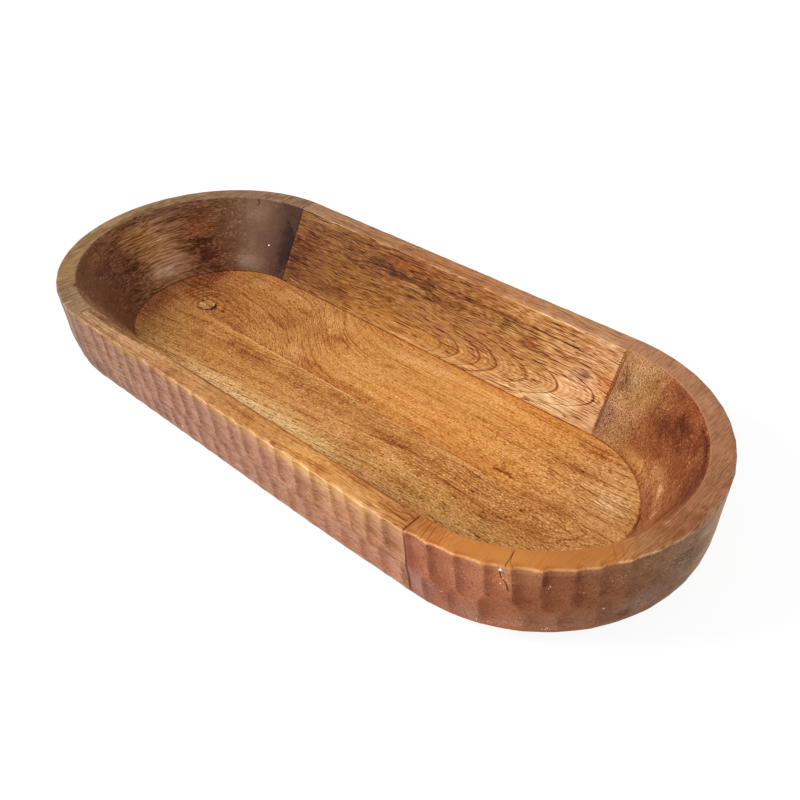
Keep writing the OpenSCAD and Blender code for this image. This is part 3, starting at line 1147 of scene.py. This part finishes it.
LEFT_WOOD = dict(
    kind="left",
    seed=8.9,
    tones={
        RIM: (
            (90, (136, 98, 74)), (120, (132, 97, 73)), (150, (134, 101, 70)), (190, (138, 106, 68)),
            (232, (136, 102, 62)), (250, (129, 99, 67)),
        ),
        # The paler grey-brown tones from 112 to 122 degrees are a painted sheen
        INSIDE: (
            (92, (52, 26, 15)), (97, (64, 35, 23)), (104, (84, 53, 38)), (112, (106, 73, 55)),
            (122, (113, 82, 62)), (130, (103, 68, 43)), (142, (98, 56, 29)), (152, (122, 73, 43)),
            (165, (158, 108, 70)), (182, (166, 114, 70)), (194, (132, 84, 50)), (212, (112, 68, 45)),
            (246, (126, 82, 52)),
        ),
        OUTSIDE: ((92, (111, 80, 57)), (180, (108, 78, 56)), (230, (108, 84, 70)), (246, (120, 92, 76))),
    },
    hues={
        # The grey-brown spots at 118 and 120 degrees, high and low on the wall, are a painted sheen
        INSIDE: (
            (177, 34, 12, 17, (196, 144, 84), 40), (185, 20, 12, 9, (176, 120, 64), 50),
            (176, 56, 16, 9, (200, 154, 120), 50), (160, 5, 24, 9, (112, 70, 52), 60),
            (151, 26, 9, 10, (146, 78, 44), 50), (146, 54, 10, 10, (100, 50, 32), 60),
            (200, 34, 11, 12, (100, 58, 40), 60), (118, 14, 9, 12, (134, 102, 82), 50),
            (120, 60, 10, 9, (142, 110, 92), 50), (180, 5, 18, 4, (116, 78, 58), 50),
            (213, 12, 10, 9, (152, 104, 62), 50), (162, 12, 12, 6, (150, 104, 66), 50),
        ),
        OUTSIDE: ((240, 18, 8, 24, (140, 116, 100), 50),),
    },
    marks={
        RIM: ((110, 6, 7, 6, 20), (144, 5, 12, 5, 12), (202, 7, 12, 8, 20), (178, 3, 16, 3, 30)),
        INSIDE: (
            (150, 39, 8, 5, 55), (158, 45, 5, 4, 60), (161, 36, 4, 4, 35), (148, 50, 7, 8, 25),
            (95, 42, 7, 28, 32), (94, 16, 6, 10, 25), (196, 46, 6, 7, 20), (175, 16, 8, 5, -25),
            (157, 10, 9, 8, 15), (146, 54, 7, 7, 20), (186, 5, 8, 5, 22), (151, 18, 8, 6, 20),
            (214, 22, 8, 10, 14), (195, 6, 7, 4, -15), (95, 20, 4, 10, 20), (180, 58, 10, 6, -15),
            (173, 52, 10, 17, -20), (125, 58, 9, 8, -15), (181, 62, 5, 2, 20), (206, 55, 6, 5, 15),
            (198, 38, 8, 7, 25), (152, 66, 16, 4, 20), (108.5, 43, 0.35, 0.6, -180), (166, 9, 9, 3, -20),
            (190, 14, 10, 3, -20),
        ),
    },
    lines={
        INSIDE: (
            (1, 35, 160, 32, 178, 37, 192, 33), (1, 35, 160, 22, 176, 25, 194, 24),
            (1, 35, 164, 12, 180, 15, 200, 12), (0.8, 30, 163, 29, 180, 31, 198, 28),
            (1, 30, 150, 58, 168, 57, 184, 60), (0.9, 30, 160, 50, 178, 53, 196, 47),
        ),
    },
    uprights={
        RIM: ((0.35, 35, 107.2, 0, 107, 16.5),),
        INSIDE: ((0.5, 100, 118.2, 0, 117.4, 5, 118.6, 7.5),),
    },
    calm={INSIDE: ((106, 36, 42, 60, 88), (232, 40, 26, 60, 55), (174, 34, 22, 34, -45))},
    length=0.07,
    fine=(0.3, 0.68, 0.4),
    coarse=(0.25, 0.6, 0.4),
    across=lambda s: s.x * 0.3,
    gloss=0.12,
    grain="y",
)

CORNER_WOOD = dict(
    kind="left",
    seed=2.2,
    tones={
        RIM: ((244, (131, 101, 71)), (266, (135, 103, 69))),
        INSIDE: ((244, (124, 78, 50)), (266, (162, 112, 72))),
        OUTSIDE: ((244, (128, 100, 84)), (256, (134, 100, 80)), (266, (133, 96, 76))),
    },
    marks={RIM: ((247, 8, 3, 9, 15), (259, 8, 3, 9, 15)), OUTSIDE: ((252, 44, 6, 12, 15),)},
    grain="y",
)

FILLER_WOOD = dict(
    kind="left",
    seed=4.4,
    tones={
        RIM: ((92, (134, 99, 72)), (107, (130, 94, 67))),
        INSIDE: ((92, (60, 35, 24)), (107, (84, 54, 41))),
        OUTSIDE: ((92, (116, 83, 58)), (107, (116, 83, 58))),
    },
    fine=(0.6, 0.2, 0.4),
    coarse=(0.5, 0.3, 0.5),
    gloss=0.12,
    grain="y",
)


# Floor boards' figure

# How far the flow and the rings are drawn in, along the board, to the right of the knot
FLOW_DRAW = 0.45
RING_DRAW = 0.6
# The flow parts round the knot, by a share within a reach, and dives by a depth about a place
PART_SHARE = 0.7
PART_REACH = 20
DIVE_DEPTH = 32
DIVE_PLACE = -86
DIVE_REACH = 40
# The knot's bark and rings as bands of the distance from it, how the rings waver and fade to the
# right and to the front, and the darkness of both
BARK = (6.0, 7.4, 7.6, 9.4)
KNOT_RINGS = (5.2, (0.35, 0.8, 0.86, 1.0))
KNOT_BAND = (10, 14, 30, 46)
KNOT_WAVE = 9
KNOT_RIGHT = (-6, 22, 1.0, 0.25)
KNOT_FRONT = (-12, -2)
KNOT_DARK = 0.5
# The front board's nested rings: centre, stretch along the board, waver, band, where they come in
# along the board, and darkness
ARC_CENTRE = (165, -5)
ARC_STRETCH = 2.1
ARC_RINGS = (4.2, (0.4, 0.85, 0.9, 1.0))
ARC_WAVE = 5
ARC_BAND = (24, 28, 38, 42)
ARC_ALONG = (140, 165)
ARC_DARK = 0.2
# Slope of the front board's grain, and where it ends
SLANT = 0.12
SLANT_END = 0.084


def from_knot(s, draw):
    """Offset from the knot in mm, drawn in along the board where it lies to the knot's right."""
    right = s.a - KNOT[0] * 1000
    along = s.most(right, 0.0) * draw + s.least(right, 0.0)
    return along, s.v - KNOT[1] * 1000


def flow_round_knot(s):
    """Distance in metres across the grain of the back board, which parts round its knot and dives
    towards the joint farther right."""
    right, up = from_knot(s, FLOW_DRAW)
    near = s.math("EXPONENT", s.size(s.vector(right, up)) * (-1 / PART_REACH))
    dive = s.math("TANH", (s.a - DIVE_PLACE) * (1 / DIVE_REACH))
    return (up * (1.0 - near * PART_SHARE) + dive * DIVE_DEPTH) * 0.001


def knot_rings(s):
    """The knot's bark, and the rings round its left side."""
    right, up = from_knot(s, RING_DRAW)
    away = s.size(s.vector(right, up))
    field = away + s.wave * KNOT_WAVE
    fade = s.span(right, *KNOT_RIGHT) * s.span(up, *KNOT_FRONT)
    rings = s.ring_lines(field, *KNOT_RINGS) * s.band(field, *KNOT_BAND) * fade
    return (rings + s.band(away, *BARK)) * KNOT_DARK


def end_arcs(s):
    """Nested rings at the right of the front board."""
    right, up = (s.a - ARC_CENTRE[0]) * (1 / ARC_STRETCH), s.v - ARC_CENTRE[1]
    field = s.size(s.vector(right, up)) + s.wave * ARC_WAVE
    here = s.span(s.a, *ARC_ALONG) * s.band(field, *ARC_BAND)
    return s.ring_lines(field, *ARC_RINGS) * here * ARC_DARK


def slanting(s):
    """Distance across the grain of the front board, which runs slightly askew on its left."""
    return s.y - s.least(s.x, SLANT_END) * SLANT


BACK_BOARD = dict(
    kind="floor",
    seed=9.7,
    tones={
        TOP: (
            (-252, (166, 98, 52)), (-225, (168, 103, 52)), (-200, (174, 114, 56)), (-120, (182, 119, 57)),
            (-40, (205, 137, 68)), (60, (216, 145, 70)), (160, (211, 138, 63)), (215, (207, 144, 80)),
            (252, (198, 134, 73)),
        ),
    },
    hues={
        TOP: (
            (-238, 22, 16, 19, (152, 80, 46), 75), (-231, 38, 18, 18, (140, 76, 44), 80),
            (-212, 54, 20, 10, (160, 90, 46), 65), (-180, 68, 20, 7, (187, 110, 60), 60),
            (-199, 2.5, 10, 11, (182, 132, 72), 90), (-160, 8, 34, 12, (170, 108, 44), 50),
            (-168, 44, 30, 18, (174, 110, 44), 50), (60, 16, 70, 10, (209, 132, 53), 60),
            (20, 66, 60, 9, (218, 153, 88), 50), (80, 50, 60, 12, (222, 155, 79), 50),
            (230, 22, 16, 16, (215, 161, 102), 70), (201, 0, 12, 8, (180, 106, 46), 70),
            (190, 64, 14, 8, (188, 106, 44), 70),
        ),
    },
    marks={
        TOP: (
            (-191.5, 10, 3.2, 3.4, 30), (-118, 52, 16, 4, 35), (-232, 34, 12, 22, 36), (45, -6, 170, 5, 20),
            (-166, -5, 18, 4, 12), (-196, 66, 14, 6, 18), (164, 7, 20, 7, 26), (185, 34, 26, 20, 15),
            (-140, 24, 12, 10, 12), (-214, 6, 20, 6, 16), (-200, 54, 12, 6, 16), (-140, 54, 10, 6, 14),
            (90, 60, 40, 9, -12), (-170, 66, 12, 5, 16), (-80, 6, 14, 6, -26), (-82, 60, 20, 8, -20),
            (62, 67, 44, 5, -15), (-66, 42, 12, 4, 35), (-2, 42, 10, 4, 30), (-2, 0, 22, 4, 30),
            (-52, 2, 16, 4, 25), (-130, 25, 22, 4, 20), (-200, 2.3, 1.4, 1.4, 70), (-203, 1, 3, 3, -25),
            (-209, 47, 1.4, 1, 120), (-98, -7, 1.8, 1.4, 90), (-187, 18, 2.5, 2, 70), (108, 60, 12, 2, 30),
            (186, 38, 8, 3, 35), (150, 2, 12, 3, 40), (100, 38, 10, 1.5, 35), (55, 26, 6, 4, 25),
            (222, 24, 12, 8, -20), (-85, 37, 44, 11, 15), (-190, 28, 50, 26, 13), (-134, 40, 30, 12, 8),
            (-50, 31, 16, 8, 15), (90, 4, 90, 12, 16), (-35, -5, 50, 5, 12), (190, -5, 30, 7, 28),
            (-136, -6, 30, 5, 14), (10, -6, 16, 4, 10), (30, 62, 60, 8, -12), (196, 41, 20, 6, 20),
            (220, 26, 16, 12, -12), (15, 56, 60, 8, -10),
        ),
    },
    lines={
        TOP: (
            (1.4, 70, -212, 11, -203, 20), (1, 50, -190, 38, -175, 34),
            (1.1, 40, -222, 14, -214, 26, -200, 30, -180, 28),
            (0.9, 40, -152, 34, -132, 27, -113, 22, -104, 12, -96, 2),
            (0.8, 35, -134, 12, -114, 12, -105, 6, -99, -2), (0.9, 35, -112, 62, -98, 42, -87, 24, -78, 6),
            (0.8, 30, -103, 64, -90, 46, -76, 26, -66, 12), (0.8, 30, -96, 72, -80, 50, -62, 32),
            (0.8, 30, -86, 74, -66, 52, -44, 36), (1, 40, 176, 40, 200, 40), (1, 35, 180, 62, 202, 62),
            (0.8, 35, 140, 27, 176, 26, 210, 22, 240, 18), (0.8, 25, 110, 34, 150, 33, 190, 33),
            (0.8, 35, 212, 8, 236, 7), (0.9, 60, 196, 26, 212, 24.5, 236, 24),
            (0.8, 50, 205, 28, 220, 27.5, 236, 27), (1, 60, 140, -0.5, 152, 2, 164, -0.5),
            (0.8, 20, -190, -7, 252, -7),
        ),
    },
    uprights={TOP: ((2.2, 220, -191, 9, -188.4, 5, -188, 0, -194.5, -5, -204, -7),)},
    calm={TOP: ((180, 34, 90, 44, -45),)},
    length=0.3,
    fine=(0.85,),
    coarse=(0.65,),
    figure=knot_rings,
    across=flow_round_knot,
)

FRONT_BOARD = dict(
    kind="floor",
    seed=6.5,
    tones={
        TOP: (
            (-252, (172, 104, 54)), (-225, (172, 109, 54)), (-190, (176, 117, 54)), (-100, (193, 130, 63)),
            (-20, (203, 139, 72)), (80, (204, 139, 71)), (160, (201, 134, 66)), (252, (190, 129, 68)),
        ),
    },
    hues={
        TOP: (
            (-234, -28, 14, 22, (156, 84, 46), 75), (-247, -10, 10, 16, (150, 80, 46), 70),
            (-70, -66, 130, 12, (236, 176, 100), 85), (5, -68, 50, 9, (246, 194, 118), 75),
            (150, -54, 90, 15, (202, 145, 74), 80), (-130, -46, 70, 12, (187, 126, 57), 40),
            (120, -25, 80, 8, (187, 117, 50), 70), (-50, -18, 22, 6, (169, 104, 43), 60),
            (-8, -14, 18, 5, (165, 102, 38), 70), (180, -12, 40, 8, (204, 136, 67), 40),
            (-130, -20, 40, 6, (174, 109, 46), 50), (200, -64, 40, 7, (208, 151, 90), 50),
        ),
    },
    marks={
        TOP: (
            (104, -41, 5, 2.5, 45), (138, -41, 6, 2.5, 40), (168, -44, 5, 2, 45), (145, -29, 12, 3, 30),
            (64, -28, 12, 6, 30), (-130, -22, 10, 2.5, 40), (45, -49, 10, 4, 25), (-12, -48, 30, 3, 25),
            (-190, -20, 26, 4, 20), (10, -21, 200, 12, 20), (-80, -28, 70, 8, 20), (-60, -52, 70, 9, -12),
            (-145, -30, 34, 8, 18), (-100, -19, 60, 7, 18), (-48, -17, 16, 5, 28), (150, -38, 70, 24, 11),
            (10, -30, 10, 6, 12), (45, -43, 20, 5, 12), (-112, -29, 14, 6, 12), (-214, -68, 20, 6, 30),
            (-82, -42, 10, 5, -12), (172, -12, 44, 6, 22), (185, -30, 24, 8, 15), (-232, -14, 12, 12, 15),
            (-195, -10, 30, 10, 10), (-165, -32, 14, 8, 12), (130, -31, 16, 6, 14), (50, -42, 24, 5, 13),
            (72, -55, 16, 6, -10), (85, -30, 26, 8, 14), (200, -32, 30, 10, 15), (-50, -29, 18, 7, 12),
            (-70, -68, 60, 8, -26), (-185, -54, 26, 8, -12), (110, -57, 24, 3, 30),
        ),
    },
    lines={
        TOP: (
            (1, 30, 72, -37, 110, -34.5, 150, -34, 176, -36), (0.9, 35, 20, -13, 84, -9.5),
            (1.2, -20, -150, -8, 30, -8), (0.8, 30, 30, -8, 252, -8), (1.6, 30, -252, -76.5, 200, -76.5),
        ),
    },
    uprights={TOP: ((1.4, 50, 230, -8, 226, -20, 216, -30),)},
    calm={TOP: ((-60, -66, 180, 14, -60), (150, -36, 110, 40, -30))},
    length=0.3,
    fine=(0.95,),
    coarse=(0.7,),
    figure=end_arcs,
    across=slanting,
)

DOWEL_TONES = ((-180, (196, 154, 104)), (180, (206, 164, 114)))
DOWEL_WOOD = dict(kind="rail", seed=0.6, tones={f: DOWEL_TONES for f in (RIM, INSIDE, OUTSIDE)})


# Stage, lights and background

STAGE_HALF = 4.0
STAGE_Z = -0.0002
STAGE_PALE = 0.8
SHADOW_SHARE = 0.14
FLOOR_GLOW = 0.91
WORLD_LIGHT = 0.545
KEY_PLACE = Vector((-1.55, -1.65, 1.75))
KEY_SIZE = 1.0
KEY_POWER = 62


def seen_rays(s):
    """1 for the rays that show the background: camera, gloss and glass."""
    camera, gloss, glass = (
        s.node("ShaderNodeLightPath", output=f"Is {kind} Ray")
        for kind in ("Camera", "Glossy", "Transmission")
    )
    return s.most(camera, s.most(gloss, glass))


def add_stage():
    """A pale floor that keeps the bowl's shadow and glows up to white where it is seen."""
    mesh = bpy.data.meshes.new("studio_floor")
    corners = ((-1, -1), (1, -1), (1, 1), (-1, 1))
    points = [(x * STAGE_HALF, y * STAGE_HALF, STAGE_Z) for x, y in corners]
    mesh.from_pydata(points, [], [(0, 1, 2, 3)])
    floor = bpy.data.objects.new("studio_floor", mesh)
    bpy.context.collection.objects.link(floor)
    material = bpy.data.materials.new("studio_floor")
    s = Shade(material)
    pale = s.node("ShaderNodeBsdfDiffuse", {0: grey(STAGE_PALE)})
    shadowed = s.node("ShaderNodeBsdfDiffuse", {0: grey(SHADOW_SHARE)})
    glow = s.node("ShaderNodeEmission", {1: FLOOR_GLOW})
    lifted = s.node("ShaderNodeAddShader", {0: shadowed, 1: glow})
    mixed = s.node("ShaderNodeMixShader", {0: seen_rays(s), 1: pale, 2: lifted})
    s.node("ShaderNodeOutputMaterial", {0: mixed})
    mesh.materials.append(material)


def add_world():
    """Soft light all round, which looks white where it is seen."""
    world = bpy.data.worlds.new("studio")
    bpy.context.scene.world = world
    s = Shade(world)
    level = s.node("ShaderNodeMapRange", {0: seen_rays(s), 3: WORLD_LIGHT, 4: 1.0})
    s.node("ShaderNodeOutputWorld", {0: s.node("ShaderNodeBackground", {0: grey(1), 1: level})})


def add_key_light():
    light = bpy.data.lights.new("key", "AREA")
    light.shape = "DISK"
    light.size = KEY_SIZE
    light.energy = KEY_POWER
    lamp = bpy.data.objects.new("key", light)
    lamp.location = KEY_PLACE
    lamp.rotation_euler = (-KEY_PLACE).to_track_quat("-Z", "Y").to_euler()
    bpy.context.collection.objects.link(lamp)


# The scene

add_camera()
add_stage()
add_world()
add_key_light()

# Wall pieces: name, CAD node, slot, wood and stations
front_way = arc_stations(-END_X, FRONT_SEAM, 270)[:-1] + line_stations(-END_X, END_X, -90)
back_way = line_stations(END_X, -END_X, 90) + arc_stations(-END_X, 90, BACK_SEAM)[1:]
right_way = arc_stations(END_X, -90, 90)
left_way = arc_stations(-END_X, BACK_SEAM, FRONT_CORNER_SEAM)
corner_way = arc_stations(-END_X, FRONT_CORNER_SEAM, FRONT_SEAM)
filler_way = arc_stations(-END_X, BACK_SEAM, BACK_FILLER_SEAM)
WALL_PIECES = (
    ("front_rail", "front_rail", "front_rail_wood", FRONT_WOOD, front_way),
    ("back_rail", "back_rail", "back_rail_wood", BACK_WOOD, back_way),
    ("right_end", "right_end_block", "right_end_wood", RIGHT_WOOD, right_way),
    ("left_end", "left_end_block", "left_end_wood", LEFT_WOOD, left_way),
    ("corner", "left_front_corner", "corner_wood", CORNER_WOOD, corner_way),
    ("filler", "left_back_filler", "corner_wood", FILLER_WOOD, filler_way),
)
for name, node, slot, look, way in WALL_PIECES:
    mesh = sweep(f"{name}_dressed", way, notched=name in ("left_end", "corner"))
    if name in ("left_end", "filler"):
        cut_by_filler_plane(mesh, keep_above=name == "filler")
    finish(f"{name}_dressed", mesh, node, wood(f"{name}_wood", **look))

for name, side, look in (("floor_front", -1, FRONT_BOARD), ("floor_back", 1, BACK_BOARD)):
    mesh = floor_board(f"{name}_dressed", side)
    finish(f"{name}_dressed", mesh, f"{name}_board", wood(f"{name}_wood", **look))

dowel_wood = wood("dowel_wood", **DOWEL_WOOD)
for name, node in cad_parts.items():
    if name.startswith("dowel_"):
        node.data.materials.clear()
        node.data.materials.append(dowel_wood)

bpy.context.scene.view_settings.view_transform = "Standard"
